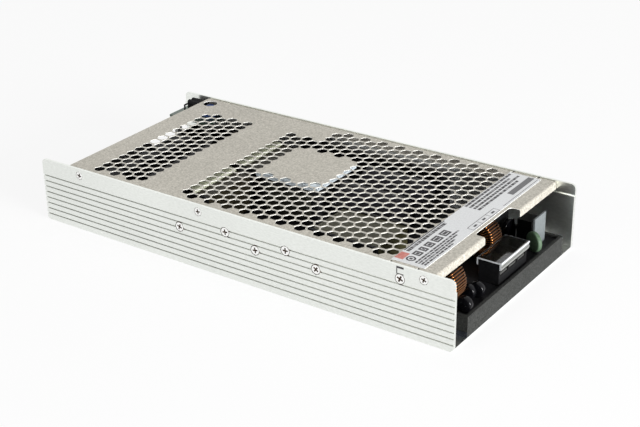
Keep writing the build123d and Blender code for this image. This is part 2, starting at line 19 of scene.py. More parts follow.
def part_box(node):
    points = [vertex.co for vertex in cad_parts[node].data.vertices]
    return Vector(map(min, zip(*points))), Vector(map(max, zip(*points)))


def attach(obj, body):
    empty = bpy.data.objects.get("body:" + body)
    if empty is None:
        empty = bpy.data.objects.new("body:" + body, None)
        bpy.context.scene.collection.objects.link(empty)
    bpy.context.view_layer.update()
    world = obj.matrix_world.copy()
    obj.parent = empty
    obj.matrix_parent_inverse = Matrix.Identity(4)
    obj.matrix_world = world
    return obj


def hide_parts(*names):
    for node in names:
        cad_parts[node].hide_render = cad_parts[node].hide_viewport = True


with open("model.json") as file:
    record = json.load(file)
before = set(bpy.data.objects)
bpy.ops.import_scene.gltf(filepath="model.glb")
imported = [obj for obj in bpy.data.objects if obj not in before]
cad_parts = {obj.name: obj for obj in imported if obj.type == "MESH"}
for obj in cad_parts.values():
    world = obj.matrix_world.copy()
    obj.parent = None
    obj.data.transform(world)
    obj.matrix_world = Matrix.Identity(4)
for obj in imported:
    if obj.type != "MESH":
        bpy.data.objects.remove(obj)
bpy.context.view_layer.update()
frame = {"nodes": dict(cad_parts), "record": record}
print("solids in the frame:", len(frame["nodes"]))

# %% [markdown]
# Sizes on the drawing are in millimetres, counted from the output end and from the near
# wall. One helper turns such a place into a point of the frame.

# %% Units and places
MM = 0.001
case_low, case_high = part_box("chassis")


def place(x, y, z):
    """A point counted from the output end, the near wall and the base, in millimetres."""
    return Vector((case_low.x + x * MM, case_low.y + y * MM, case_low.z + z * MM))


cover_low, cover_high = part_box("top_cover")
COVER_TOP = (cover_high.z - case_low.z) / MM
print("cover top above the base:", round(COVER_TOP, 2), "mm")

# %% [markdown]
# Every new piece ends the same way: the mesh leaves bmesh, gets its materials, rides on a
# body of the frame and may stand for a CAD solid. The object itself stays at the origin,
# unturned, so that patterns in Object coordinates stay with the piece.

# %% Hand a finished mesh to the scene
def keep_piece(bm, name, materials, body, stands_for=(), smooth=False):
    """Make an object of a bmesh, give it its finishes and hang it on a body."""
    mesh = bpy.data.meshes.new(name)
    bm.to_mesh(mesh)
    bm.free()
    if smooth:
        mesh.shade_smooth()
    piece = bpy.data.objects.new(name, mesh)
    bpy.context.scene.collection.objects.link(piece)
    for material in materials:
        mesh.materials.append(material)
    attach(piece, body)
    if stands_for:
        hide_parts(*stands_for)
    print(name, "faces", len(mesh.polygons))
    return piece


# %% [markdown]
# An operator gives back its new points, edges and faces in one list. Three helpers pick one
# kind out of it. Distances under a micrometre count as none.

# %% Pick out points, edges and faces
SAME_PLACE = 1e-6


def points_of(parts):
    """The points among the parts that an operator made."""
    return [part for part in parts if isinstance(part, bmesh.types.BMVert)]


def edges_of(parts):
    """The edges among the parts that an operator made."""
    return [part for part in parts if isinstance(part, bmesh.types.BMEdge)]


def faces_of(parts):
    """The faces among the parts that an operator made."""
    return [part for part in parts if isinstance(part, bmesh.types.BMFace)]


# %% [markdown]
# Screws and discs are built one at a time, each in a small bmesh of its own in millimetres,
# and then poured into the mesh of their group.

# %% Pour a small mesh into a group
def pour_into(group, made):
    """Add a finished small mesh to the mesh of its group."""
    mesh = bpy.data.meshes.new("poured")
    made.to_mesh(mesh)
    made.free()
    group.from_mesh(mesh)
    bpy.data.meshes.remove(mesh)


# %% [markdown]
# ## Finishes
#
# Rolled, drawn and moulded surfaces all show two things up close: a fine grain, often
# stretched one way, and slow cloudy changes of tone. One node group makes both from Object
# coordinates. Each material sets its own scale and uses the grain for colour, roughness
# and bump.

# %% The grain group
def build_grain_group():
    """A node group that gives fine grain and slow clouds over a surface."""
    group = bpy.data.node_groups.new("surface_grain", "ShaderNodeTree")
    add = group.interface.new_socket
    add("Scale", in_out="INPUT", socket_type="NodeSocketVector")
    add("Detail", in_out="INPUT", socket_type="NodeSocketFloat")
    add("Grain", in_out="OUTPUT", socket_type="NodeSocketFloat")
    add("Clouds", in_out="OUTPUT", socket_type="NodeSocketFloat")
    nodes, links = group.nodes, group.links
    given = nodes.new("NodeGroupInput")
    result = nodes.new("NodeGroupOutput")
    where = nodes.new("ShaderNodeTexCoord")
    stretch = nodes.new("ShaderNodeMapping")
    links.new(where.outputs["Object"], stretch.inputs["Vector"])
    links.new(given.outputs["Scale"], stretch.inputs["Scale"])
    fine = nodes.new("ShaderNodeTexNoise")
    fine.inputs["Scale"].default_value = 1.0
    fine.inputs["Roughness"].default_value = 0.6
    links.new(stretch.outputs["Vector"], fine.inputs["Vector"])
    links.new(given.outputs["Detail"], fine.inputs["Detail"])
    slow = nodes.new("ShaderNodeTexNoise")
    slow.inputs["Scale"].default_value = 22.0
    slow.inputs["Detail"].default_value = 2.0
    links.new(where.outputs["Object"], slow.inputs["Vector"])
    links.new(fine.outputs["Fac"], result.inputs["Grain"])
    links.new(slow.outputs["Fac"], result.inputs["Clouds"])
    return group


surface_grain = build_grain_group()
print("group:", surface_grain.name)

# %% [markdown]
# A helper builds a material around that group. Two colours are mixed by the grain, and a
# bump node turns the same grain into relief. Constants go straight on the shader's own
# sockets. Each finish is kept under its name, to be found again when a piece is dressed.

# %% A material from two tones
finishes = {}
TONE_STOPS = (0.32, 0.68)
ROUGH_SPREAD = 0.08
GRAIN_DETAIL = 3.0
GRAIN_DEPTH = 0.2 * MM


def make_finish(name, tones, roughness, scale, metallic=0.0, relief=0.0, cloudy=0.25, coat=0.0,
                specular=0.5):
    """Keep a finish with grain in its colour, roughness and relief."""
    material = bpy.data.materials.new(name)
    material.use_nodes = True
    nodes, links = material.node_tree.nodes, material.node_tree.links
    shader = nodes["Principled BSDF"]
    shader.inputs["Metallic"].default_value = metallic
    shader.inputs["Coat Weight"].default_value = coat
    shader.inputs["Specular IOR Level"].default_value = specular
    grain = nodes.new("ShaderNodeGroup")
    grain.node_tree = surface_grain
    grain.inputs["Scale"].default_value = scale
    grain.inputs["Detail"].default_value = GRAIN_DETAIL
    blend = nodes.new("ShaderNodeMix")
    blend.inputs["Factor"].default_value = cloudy
    links.new(grain.outputs["Grain"], blend.inputs["A"])
    links.new(grain.outputs["Clouds"], blend.inputs["B"])
    ramp = nodes.new("ShaderNodeValToRGB")
    for stop, position, tone in zip(ramp.color_ramp.elements, TONE_STOPS, tones):
        stop.position = position
        stop.color = (*tone, 1.0)
    links.new(blend.outputs["Result"], ramp.inputs["Fac"])
    links.new(ramp.outputs["Color"], shader.inputs["Base Color"])
    polish = nodes.new("ShaderNodeMapRange")
    polish.inputs["To Min"].default_value = roughness - ROUGH_SPREAD
    polish.inputs["To Max"].default_value = roughness + ROUGH_SPREAD
    links.new(blend.outputs["Result"], polish.inputs["Value"])
    links.new(polish.outputs["Result"], shader.inputs["Roughness"])
    if relief:
        bump = nodes.new("ShaderNodeBump")
        bump.inputs["Strength"].default_value = relief
        bump.inputs["Distance"].default_value = GRAIN_DEPTH
        links.new(grain.outputs["Grain"], bump.inputs["Height"])
        links.new(bump.outputs["Normal"], shader.inputs["Normal"])
    finishes[name] = material


# %% [markdown]
# The channel is extruded and satin anodised, so its grain runs along it. The cover is
# rolled sheet with a warmer, fully matt, finely speckled skin.

# %% Metals
make_finish("body_aluminium", [(0.74, 0.76, 0.725), (0.86, 0.88, 0.845)], 0.32, (420, 1500, 1500),
            metallic=1.0, relief=0.06)
make_finish("cover_sheet", [(0.30, 0.283, 0.24), (0.59, 0.562, 0.495)], 0.5, (1000, 1000, 1000),
            metallic=0.4, relief=0.25, cloudy=0.12)
make_finish("cut_edge", [(0.72, 0.71, 0.66), (0.88, 0.87, 0.83)], 0.45, (600, 600, 1500),
            metallic=0.2, relief=0.1)
make_finish("screw_steel", [(0.93, 0.93, 0.91), (0.985, 0.985, 0.97)], 0.3, (900, 900, 900),
            metallic=1.0, relief=0.05)
# The dark brown of a screw's cross and of the side of a sunk head is painted shade in the recess.
make_finish("recess_painted_shade", [(0.035, 0.020, 0.012), (0.085, 0.052, 0.032)], 0.5, (900, 900, 900),
            specular=0.2)
make_finish("plated_steel", [(0.16, 0.16, 0.155), (0.28, 0.28, 0.27)], 0.34, (1200, 300, 1200),
            metallic=1.0, relief=0.15)
make_finish("heat_bar", [(0.10, 0.10, 0.105), (0.17, 0.17, 0.175)], 0.5, (120, 1400, 1400),
            metallic=1.0, relief=0.2)
make_finish("copper_wire", [(0.125, 0.046, 0.012), (0.22, 0.088, 0.026)], 0.15, (700, 700, 700),
            metallic=1.0, coat=0.2)
make_finish("copper_strap", [(0.55, 0.30, 0.16), (0.70, 0.42, 0.26)], 0.35, (400, 1400, 1400),
            metallic=1.0, relief=0.15)
print("metals:", len(finishes))

# %% [markdown]
# The grooves of the channel look darker than the ribs between them, because little light
# reaches their floors; the darker tone here is painted shade. Four tests on the place, in Object
# coordinates, find the metal inside them: near a wall's outer face but under it, away from the
# end faces, and below the plain upper band. Their product is the mask for the painted shade.

# %% Paint shade into the grooves
GROOVE_DEPTH = 1.25
FACE_SKIN = 0.08
END_SKIN = 0.3
GROOVES_BELOW = 31
# The darker tone for the grooves is painted shade, not a colour of the metal.
GROOVE_SHADE_TONE = (0.60, 0.61, 0.58, 1.0)


def paint_groove_shade(material):
    """Paint shade on the channel's metal between two depths under its outer faces."""
    nodes, links = material.node_tree.nodes, material.node_tree.links
    shader = nodes["Principled BSDF"]
    ramp = shader.inputs["Base Color"].links[0].from_node
    where = nodes.new("ShaderNodeTexCoord")
    split = nodes.new("ShaderNodeSeparateXYZ")
    links.new(where.outputs["Object"], split.inputs["Vector"])
    inside = []
    for axis, limit, test in (("Y", case_high.y - GROOVE_DEPTH * MM, "GREATER_THAN"),
                              ("Y", case_high.y - FACE_SKIN * MM, "LESS_THAN"),
                              ("X", case_high.x - END_SKIN * MM, "LESS_THAN"),
                              ("Z", case_low.z + GROOVES_BELOW * MM, "LESS_THAN")):
        size = nodes.new("ShaderNodeMath")
        size.operation = "ABSOLUTE"
        links.new(split.outputs[axis], size.inputs[0])
        compare = nodes.new("ShaderNodeMath")
        compare.operation = test
        compare.inputs[1].default_value = limit
        links.new(size.outputs[0], compare.inputs[0])
        inside.append(compare)
    mask = inside[0]
    for compare in inside[1:]:
        both = nodes.new("ShaderNodeMath")
        both.operation = "MULTIPLY"
        links.new(mask.outputs[0], both.inputs[0])
        links.new(compare.outputs[0], both.inputs[1])
        mask = both
    shade = nodes.new("ShaderNodeMix")
    shade.data_type = "RGBA"
    shade.blend_type = "MIX"
    shade.inputs["B"].default_value = GROOVE_SHADE_TONE
    links.new(mask.outputs[0], shade.inputs["Factor"])
    links.new(ramp.outputs["Color"], shade.inputs["A"])
    links.new(shade.outputs["Result"], shader.inputs["Base Color"])


paint_groove_shade(finishes["body_aluminium"])
print("grooves darkened up to", GROOVES_BELOW, "mm")

# %% [markdown]
# Inside, the pieces are moulded, dipped, cast or sintered. Moulded plastic has a faint
# orange-peel skin, dipped discs are glossy, and the cast potting is dull and cloudy.

# %% Plastics, lacquers and castings
make_finish("black_plastic", [(0.003, 0.003, 0.0035), (0.009, 0.009, 0.0095)], 0.5,
            (900, 900, 900), relief=0.3, specular=0.09)
make_finish("tray_plastic", [(0.008, 0.009, 0.008), (0.044, 0.045, 0.043)], 0.6,
            (1300, 1300, 1300), relief=0.45, cloudy=0.1, specular=0.1)
make_finish("liner_film", [(0.015, 0.017, 0.022), (0.035, 0.040, 0.052)], 0.35, (400, 400, 400),
            specular=0.2)
make_finish("circuit_board", [(0.010, 0.035, 0.018), (0.025, 0.075, 0.040)], 0.35, (500, 500, 500),
            coat=0.3, relief=0.1)
make_finish("potting_rubber", [(0.005, 0.005, 0.006), (0.013, 0.013, 0.014)], 0.42,
            (260, 260, 260), relief=0.5, cloudy=0.5, specular=0.15)
make_finish("ferrite", [(0.010, 0.010, 0.011), (0.024, 0.024, 0.026)], 0.6, (1100, 1100, 1100),
            relief=0.3, specular=0.2)
make_finish("black_epoxy", [(0.0015, 0.0015, 0.002), (0.004, 0.004, 0.005)], 0.07, (300, 300, 300),
            relief=0.25, specular=0.16)
make_finish("green_epoxy", [(0.034, 0.064, 0.036), (0.078, 0.122, 0.076)], 0.5, (700, 700, 700),
            relief=0.2, specular=0.2)
make_finish("pale_plate", [(0.09, 0.104, 0.108), (0.135, 0.15, 0.155)], 0.5, (800, 800, 800),
            relief=0.1)
make_finish("film_box", [(0.005, 0.005, 0.006), (0.012, 0.012, 0.013)], 0.5, (700, 700, 700),
            relief=0.2, specular=0.08)
make_finish("can_sleeve", [(0.004, 0.004, 0.006), (0.011, 0.011, 0.015)], 0.4, (600, 600, 60),
            specular=0.08)
make_finish("winding_tape", [(0.025, 0.023, 0.011), (0.056, 0.052, 0.025)], 0.4, (300, 60, 900),
            relief=0.2, specular=0.2)
# Two darker copies of the tape finish: painted shade on the transformer and the resonant chokes.
make_finish("tape_in_deep_shade", [(0.014, 0.012, 0.008), (0.040, 0.034, 0.020)], 0.4, (300, 60, 900),
            relief=0.2, specular=0.15)
make_finish("tape_in_shade", [(0.016, 0.016, 0.012), (0.036, 0.035, 0.026)], 0.4, (300, 60, 900),
            relief=0.2, specular=0.2)
# A pale copy of the tape finish: painted light on the flaps.
make_finish("tape_painted_light", [(0.48, 0.50, 0.36), (0.60, 0.62, 0.48)], 0.45, (300, 60, 900),
            relief=0.2)
make_finish("heat_pad", [(0.60, 0.68, 0.73), (0.74, 0.81, 0.86)], 0.7, (600, 600, 600), relief=0.3)
make_finish("trimmer_blue", [(0.03, 0.09, 0.36), (0.06, 0.15, 0.50)], 0.35, (500, 500, 500),
            coat=0.2)
make_finish("trimmer_white", [(0.60, 0.60, 0.57), (0.72, 0.72, 0.69)], 0.45, (500, 500, 500))
make_finish("label_film", [(0.61, 0.62, 0.625), (0.76, 0.77, 0.775)], 0.42, (1300, 1300, 1300),
            cloudy=0.15)
make_finish("print_dark", [(0.022, 0.020, 0.024), (0.05, 0.046, 0.05)], 0.55, (1500, 1500, 1500))
make_finish("print_grey", [(0.10, 0.10, 0.105), (0.15, 0.15, 0.155)], 0.55, (1500, 1500, 1500))
make_finish("print_red", [(0.46, 0.10, 0.075), (0.60, 0.26, 0.215)], 0.5, (900, 450, 900))

# %% [markdown]
# The cover over the input terminals is clear plastic: full transmission, a refractive
# index of 1.49 and a little roughness where the mould was. Its ends and its ribbed front have two
# frosted kinds of it, one pale and one grey, with less transmission; the pale one is painted
# light on the ends and the upper rib. A grey film is made the same way. The colour of each
# changes slightly with the clouds.

# %% Clear plastic
REFRACTION = 1.49
LEAST_ROUGH, MOST_ROUGH = 0.7, 1.3


def make_clear(name, tones, transmission, roughness):
    """Keep a clear moulded plastic, or a frosted kind of it."""
    material = bpy.data.materials.new(name)
    material.use_nodes = True
    nodes, links = material.node_tree.nodes, material.node_tree.links
    shader = nodes["Principled BSDF"]
    shader.inputs["Transmission Weight"].default_value = transmission
    shader.inputs["IOR"].default_value = REFRACTION
    grain = nodes.new("ShaderNodeGroup")
    grain.node_tree = surface_grain
    grain.inputs["Scale"].default_value = (500, 500, 500)
    grain.inputs["Detail"].default_value = 2.0
    ramp = nodes.new("ShaderNodeValToRGB")
    for stop, tone in zip(ramp.color_ramp.elements, tones):
        stop.color = (*tone, 1.0)
    links.new(grain.outputs["Clouds"], ramp.inputs["Fac"])
    links.new(ramp.outputs["Color"], shader.inputs["Base Color"])
    polish = nodes.new("ShaderNodeMapRange")
    polish.inputs["To Min"].default_value = LEAST_ROUGH * roughness
    polish.inputs["To Max"].default_value = MOST_ROUGH * roughness
    links.new(grain.outputs["Grain"], polish.inputs["Value"])
    links.new(polish.outputs["Result"], shader.inputs["Roughness"])
    finishes[name] = material


make_clear("clear_plastic", [(0.34, 0.352, 0.36), (0.44, 0.455, 0.465)], 1.0, 0.05)
# The pale frosted kind is painted light: the bright ends and upper rib of the cover.
make_clear("frosted_painted_light", [(0.50, 0.525, 0.54), (0.64, 0.665, 0.68)], 0.08, 0.35)
make_clear("grey_frosted", [(0.11, 0.113, 0.107), (0.18, 0.184, 0.173)], 0.08, 0.35)
make_clear("grey_film", [(0.13, 0.13, 0.14), (0.20, 0.20, 0.21)], 0.2, 0.4)
print("finishes in all:", len(finishes))

# %% [markdown]
# The record names a material slot for every solid, and the finishes above carry the same
# names. The tray is a little paler than the other black mouldings, so it has its own. The tape
# on the transformer and on the two resonant chokes gets darker copies of the tape finish, which
# are painted shade.

# %% Dress the solids
own_finish = {"potting_tray": "tray_plastic", "transformer_coil": "tape_in_shade",
              "resonant_choke_windings": "tape_in_deep_shade"}
for row in frame["record"]["subparts"]:
    node = frame["nodes"][row["node"]]
    finish = finishes[own_finish.get(row["node"], row["material_slot"])]
    if not node.material_slots:
        node.data.materials.append(finish)
    for slot in node.material_slots:
        slot.material = finish

# %% [markdown]
# ## The punched cover
#
# On the real supply this is one thin sheet, punched with hundreds of hexagons and then
# folded: down along both sides, and down again as a short lip at the front. Here it is made
# the same way. First the flat outline and the holes are drawn as loops of edges, then one
# fill makes the sheet between them. The hexagons are a regular lattice: each column is
# shifted by half a pitch from the last.

# %% Where the hexagons are
PITCH = 7.3
COLUMN = PITCH * math.sqrt(3) / 2
FLATS = 6.3
FIRST_ROW = 8.4
REAR_FIELD, REAR_COLUMNS, REAR_ROWS = 40.9, 6, 15
FRONT_FIELD, FRONT_COLUMNS, FRONT_ROWS = 107.2, 23, 18
BLANK_COLUMNS = range(3, 10)
BLANK_NEAR, BLANK_CORNER, BLANK_FAR = 56.5, 60.5, 102.5
PLAIN_COLUMNS = range(4)
PLAIN_NEAR = 116.5


def rear_holes():
    """The small field near the output end: six columns of fifteen."""
    return [(REAR_FIELD + k * COLUMN, FIRST_ROW + (row + k % 2 / 2) * PITCH)
            for k in range(REAR_COLUMNS) for row in range(REAR_ROWS)]


def front_holes():
    """The large field, without the blank patch and the plain far rear corner."""
    holes = []
    for k in range(FRONT_COLUMNS):
        start = FIRST_ROW if k % 2 else FIRST_ROW + PITCH / 2
        blank_from = BLANK_CORNER if k == BLANK_COLUMNS[-1] else BLANK_NEAR
        for row in range(FRONT_ROWS if k % 2 else FRONT_ROWS - 1):
            y = start + row * PITCH
            in_blank = k in BLANK_COLUMNS and blank_from < y < BLANK_FAR
            in_plain = k in PLAIN_COLUMNS and y > PLAIN_NEAR
            if not in_blank and not in_plain:
                holes.append((FRONT_FIELD + k * COLUMN, y))
    return holes


hexagons = rear_holes() + front_holes()
print("hexagons:", len(hexagons))

# %% [markdown]
# The outline runs round the flat top only, up to where the folds begin. Small notches
# relieve the folds, and a slot at the front opens the cover above the input terminals. Its
# back corners are rounded by a vertex bevel.

# %% The flat top
SHEET = 0.4
FOLD = 1.3
REAR_EDGE, FRONT_EDGE = 21.5, 278.5
NEAR_EDGE = (cover_low.y - case_low.y) / MM
FAR_EDGE = (cover_high.y - case_low.y) / MM
SLOT_BACK, SLOT_NEAR, SLOT_FAR = 272.0, 52.6, 93.2
SLOT_CORNER = 2.6
NOTCHES = (250.1, 266.2)
NOTCH_LONG, NOTCH_DEEP = 1.5, 1.2


def outline_points():
    """The corners of the flat top, anticlockwise from the rear near one."""
    near, far, front = NEAR_EDGE + FOLD, FAR_EDGE - FOLD, FRONT_EDGE - FOLD
    points = [(REAR_EDGE, near)]
    for x in NOTCHES:
        points += [(x, near), (x, near + NOTCH_DEEP), (x + NOTCH_LONG, near + NOTCH_DEEP),
                   (x + NOTCH_LONG, near)]
    points += [(front, near), (front, SLOT_NEAR), (SLOT_BACK, SLOT_NEAR), (SLOT_BACK, SLOT_FAR),
               (front, SLOT_FAR), (front, far)]
    for x in reversed(NOTCHES):
        points += [(x + NOTCH_LONG, far), (x + NOTCH_LONG, far - NOTCH_DEEP),
                   (x, far - NOTCH_DEEP), (x, far)]
    points.append((REAR_EDGE, far))
    return points


bm = bmesh.new()
corners = [bm.verts.new(place(x, y, COVER_TOP)) for x, y in outline_points()]
bm.faces.new(corners)
slot_corners = [v for v in corners if abs(v.co.x - place(SLOT_BACK, 0, 0).x) < SAME_PLACE]
bmesh.ops.bevel(bm, geom=slot_corners, offset=SLOT_CORNER * MM, offset_type="OFFSET",
                affect="VERTICES", segments=6, profile=0.5, material=-1)
bmesh.ops.delete(bm, geom=bm.faces[:], context="FACES_ONLY")
print("outline edges:", len(bm.edges))

# %% [markdown]
# Each hole is a circle of six edges, turned so that two corners point along the supply. The
# round hole in the far rear corner is for adjusting the output.

# %% Holes and fill
TRIMMER_X, TRIMMER_Y, TRIMMER_HOLE = 28.6, 130.2, 4.7
turned = Matrix.Rotation(math.radians(90), 4, "Z")
for x, y in hexagons:
    bmesh.ops.create_circle(bm, segments=6, radius=FLATS / math.sqrt(3) * MM,
                            matrix=Matrix.Translation(place(x, y, COVER_TOP)) @ turned)
bmesh.ops.create_circle(bm, segments=40, radius=TRIMMER_HOLE * MM,
                        matrix=Matrix.Translation(place(TRIMMER_X, TRIMMER_Y, COVER_TOP)))
bmesh.ops.triangle_fill(bm, use_beauty=True, use_dissolve=False, edges=bm.edges[:],
                        normal=(0, 0, 1))
print("faces of the flat top:", len(bm.faces))

# %% [markdown]
# A fold is a spin: the edges along one side sweep a quarter circle about the fold's axis,
# and the new end is drawn down to the length of the skirt. The same steps make the front
# lip, in two stretches beside the slot.

# %% Fold the sides and the lip
LIP_DROP = 3.2


def fold_down(side_edges, axis, centre, angle, drop):
    """Bend the sheet down along some edges and draw it down by drop millimetres."""
    bent = bmesh.ops.spin(bm, geom=side_edges, cent=centre, axis=axis, dvec=(0, 0, 0),
                          angle=angle, steps=6, use_merge=False, use_duplicate=False)
    skirt = bmesh.ops.extrude_edge_only(bm, edges=edges_of(bent["geom_last"]))
    moved = points_of(skirt["geom"])
    bmesh.ops.translate(bm, verts=moved, vec=(0, 0, -drop * MM))
    return len(moved)


def border(coordinate, value):
    """The sheet's border edges that lie on one straight line."""
    return [e for e in bm.edges if e.is_boundary
            and all(abs(getattr(v.co, coordinate) - value) < SAME_PLACE for v in e.verts)]


near_fold = place(0, NEAR_EDGE + FOLD, COVER_TOP - FOLD)
far_fold = place(0, FAR_EDGE - FOLD, COVER_TOP - FOLD)
lip_fold = place(FRONT_EDGE - FOLD, 0, COVER_TOP - FOLD)
skirt_drop = COVER_TOP - FOLD - (cover_low.z - case_low.z) / MM
folded = fold_down(border("y", near_fold.y), (1, 0, 0), near_fold, math.radians(90), skirt_drop)
folded += fold_down(border("y", far_fold.y), (1, 0, 0), far_fold, math.radians(-90), skirt_drop)
folded += fold_down(border("x", lip_fold.x), (0, 1, 0), lip_fold, math.radians(90), LIP_DROP)
bmesh.ops.recalc_face_normals(bm, faces=bm.faces[:])
if sum(f.normal.z for f in bm.faces) < 0:
    bmesh.ops.reverse_faces(bm, faces=bm.faces[:])
print("points drawn down:", folded)

# %% [markdown]
# A Solidify modifier gives the sheet its thickness, inwards. The skin of the sheet was there
# before the press, so what the press cut, round every hole and along the border, is bare
# bright metal: the modifier gives those faces the second material. A narrow bevel breaks the
# punched edges.

# %% Give the sheet its thickness
BROKEN_EDGE = 0.12
punched_cover = keep_piece(bm, "punched_cover", [finishes["cover_sheet"], finishes["cut_edge"]],
                           "case", ["top_cover"])
thickness = punched_cover.modifiers.new("thickness", "SOLIDIFY")
thickness.thickness = SHEET * MM
thickness.offset = -1.0
thickness.material_offset_rim = 1
broken_edges = punched_cover.modifiers.new("broken_edges", "BEVEL")
broken_edges.width = BROKEN_EDGE * MM
broken_edges.segments = 1
broken_edges.limit_method = "ANGLE"
broken_edges.angle_limit = math.radians(60)
broken_edges.material = 1

# %% [markdown]
# ## Screws
#
# A pan head with a cross recess is worth its own geometry, because its dark cross is seen
# from a step away. The disc and the cross are two loops, filled between; the cross is then
# drawn down and narrowed, and the rim is drawn down in three steps as the side of the head.
# The cross takes the second finish, a dark brown that is painted shade in the recess, and so
# does the side where the caller asks for it, as painted shade in the gap round a sunk head. Each
# head is turned by its place along the supply, so that the crosses don't all stand alike.

# %% One screw
FLAT_SHARE = 0.86
ARM_WIDTH = 0.27
CROSS_NARROWS, CROSS_DEPTH = 0.7, 0.5
SPIN_PER_METRE = 900
SIDE_STEPS = ((1.10, 0.12), (1.055, 0.22), (1.003, 0.66))


def add_screw(bm, centre, out, radius, head, shank_radius, shank_length, cross, side_shade_slot=0):
    """Add a screw whose head's top is at centre and whose head looks along out."""
    made = bmesh.new()
    rim = bmesh.ops.create_circle(made, segments=24, radius=radius * FLAT_SHARE)["verts"]
    arm, half = cross, cross * ARM_WIDTH
    plus = [(arm, half), (half, half), (half, arm), (-half, arm), (-half, half), (-arm, half),
            (-arm, -half), (-half, -half), (-half, -arm), (half, -arm), (half, -half),
            (arm, -half)]
    ring = [made.verts.new((x, y, 0)) for x, y in plus]
    for first, second in zip(ring, ring[1:] + ring[:1]):
        made.edges.new((first, second))
    bmesh.ops.triangle_fill(made, use_beauty=True, use_dissolve=False, edges=made.edges[:],
                            normal=(0, 0, 1))
    recess = [e for e in made.edges if e.is_boundary and all(v in ring for v in e.verts)]
    floor = points_of(bmesh.ops.extrude_edge_only(made, edges=recess)["geom"])
    bmesh.ops.scale(made, vec=(CROSS_NARROWS, CROSS_NARROWS, 1), verts=floor)
    bmesh.ops.translate(made, vec=(0, 0, -CROSS_DEPTH * head), verts=floor)
    bmesh.ops.contextual_create(made, geom=[e for e in made.edges if e.is_boundary
                                            and all(v in floor for v in e.verts)])
    for face in {f for v in floor for f in v.link_faces}:
        face.material_index = 1
    edge = [e for e in made.edges if e.is_boundary and all(v in rim for v in e.verts)]
    for grow, drop in SIDE_STEPS:
        grown = bmesh.ops.extrude_edge_only(made, edges=edge)["geom"]
        for face in faces_of(grown):
            face.material_index = side_shade_slot
        bmesh.ops.scale(made, vec=(grow, grow, 1), verts=points_of(grown))
        bmesh.ops.translate(made, vec=(0, 0, -drop * head), verts=points_of(grown))
        edge = edges_of(grown)
    bmesh.ops.contextual_create(made, geom=edge)
    bmesh.ops.create_cone(made, cap_ends=True, segments=12, radius1=shank_radius,
                          radius2=shank_radius, depth=shank_length,
                          matrix=Matrix.Translation((0, 0, -head - shank_length / 2)))
    bmesh.ops.recalc_face_normals(made, faces=made.faces[:])
    turn = Vector((0, 0, 1)).rotation_difference(Vector(out)).to_matrix().to_4x4()
    spin = Matrix.Rotation(centre.x * SPIN_PER_METRE, 4, "Z")
    bmesh.ops.transform(made, matrix=Matrix.Translation(centre) @ turn @ spin
                        @ Matrix.Scale(MM, 4), verts=made.verts[:])
    pour_into(bm, made)


# %% [markdown]
# The side screws pull the heat bars against the walls, in two heights. The cover screws sit
# flush in the thin upper band. Both walls have the same, so one loop serves two sides. Each
# head lies in a recess of the wall, and the side of the head takes the dark finish: painted
# shade, which shows as a dark ring round it.

# %% Screws in the walls
HEAT_BAR_PLACES = [(109.7, 23.3), (164.4, 23.3), (205.4, 23.3), (143.4, 28.9), (185.2, 28.9)]
COVER_PLACES = [(31.3, 36.6), (124.2, 36.6), (272.0, 36.6)]
WALL_CROSS = 0.56
WIDTH = (case_high.y - case_low.y) / MM


def wall_screws(name, node, spots, radius, head, shank_radius, shank_length, sunk):
    """A group of equal screws in both walls."""
    group = bmesh.new()
    for x, z in spots:
        for y, out in ((sunk, (0, -1, 0)), (WIDTH - sunk, (0, 1, 0))):
            add_screw(group, place(x, y, z), out, radius, head, shank_radius, shank_length,
                      radius * WALL_CROSS, side_shade_slot=1)
    keep_piece(group, name, [finishes["screw_steel"], finishes["recess_painted_shade"]], "case",
               [node])


wall_screws("heat_bar_screws", "side_screws", HEAT_BAR_PLACES, radius=3.1, head=1.2,
            shank_radius=1.4, shank_length=5.4, sunk=0.1)
wall_screws("flush_cover_screws", "cover_screws", COVER_PLACES, radius=2.75, head=1.3,
            shank_radius=1.2, shank_length=2.2, sunk=0.1)

bm = bmesh.new()
add_screw(bm, place(258.0, 0.05, 33.2), (0, -1, 0), radius=3.1, head=1.1, shank_radius=1.0,
          shank_length=0.1, cross=1.9, side_shade_slot=1)
keep_piece(bm, "earth_screw_head", [finishes["screw_steel"], finishes["recess_painted_shade"]], "case",
           ["earth_screw"])

# %% [markdown]
# The terminals have the same kind of screw, standing upright: three in the input block and
# four larger ones on the output plates. The places come from the solids they replace.

# %% Screws of the terminals
SHANK_SHARE, TERMINAL_CROSS = 0.5, 0.6


def terminal_screws(name, node, count, head, shank):
    """A row of upright screws spread over the width of the solid they stand for."""
    low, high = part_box(node)
    radius = (high.x - low.x) / 2
    group = bmesh.new()
    for k in range(count):
        share = k / (count - 1)
        centre = Vector(((low.x + high.x) / 2,
                         low.y + radius + share * (high.y - low.y - 2 * radius), high.z))
        add_screw(group, centre, (0, 0, 1), radius / MM, head, radius / MM * SHANK_SHARE, shank,
                  radius / MM * TERMINAL_CROSS)
    keep_piece(group, name, [finishes["plated_steel"], finishes["recess_painted_shade"]], "case",
               [node])


terminal_screws("input_way_screws", "input_terminal_screws", count=3, head=1.5, shank=0.1)
terminal_screws("output_way_screws", "output_screws", count=4, head=2.3, shank=0.1)

# %% [markdown]
# ## Wound rings
#
# The two filter chokes are ferrite rings with enamelled copper wire. Every turn is a closed
# loop of wire round the ring's section. One turn is swept here: a small circle is spun a
# quarter turn at each corner and drawn straight between corners. Then it is copied round
# the ring, with two gaps between the halves.

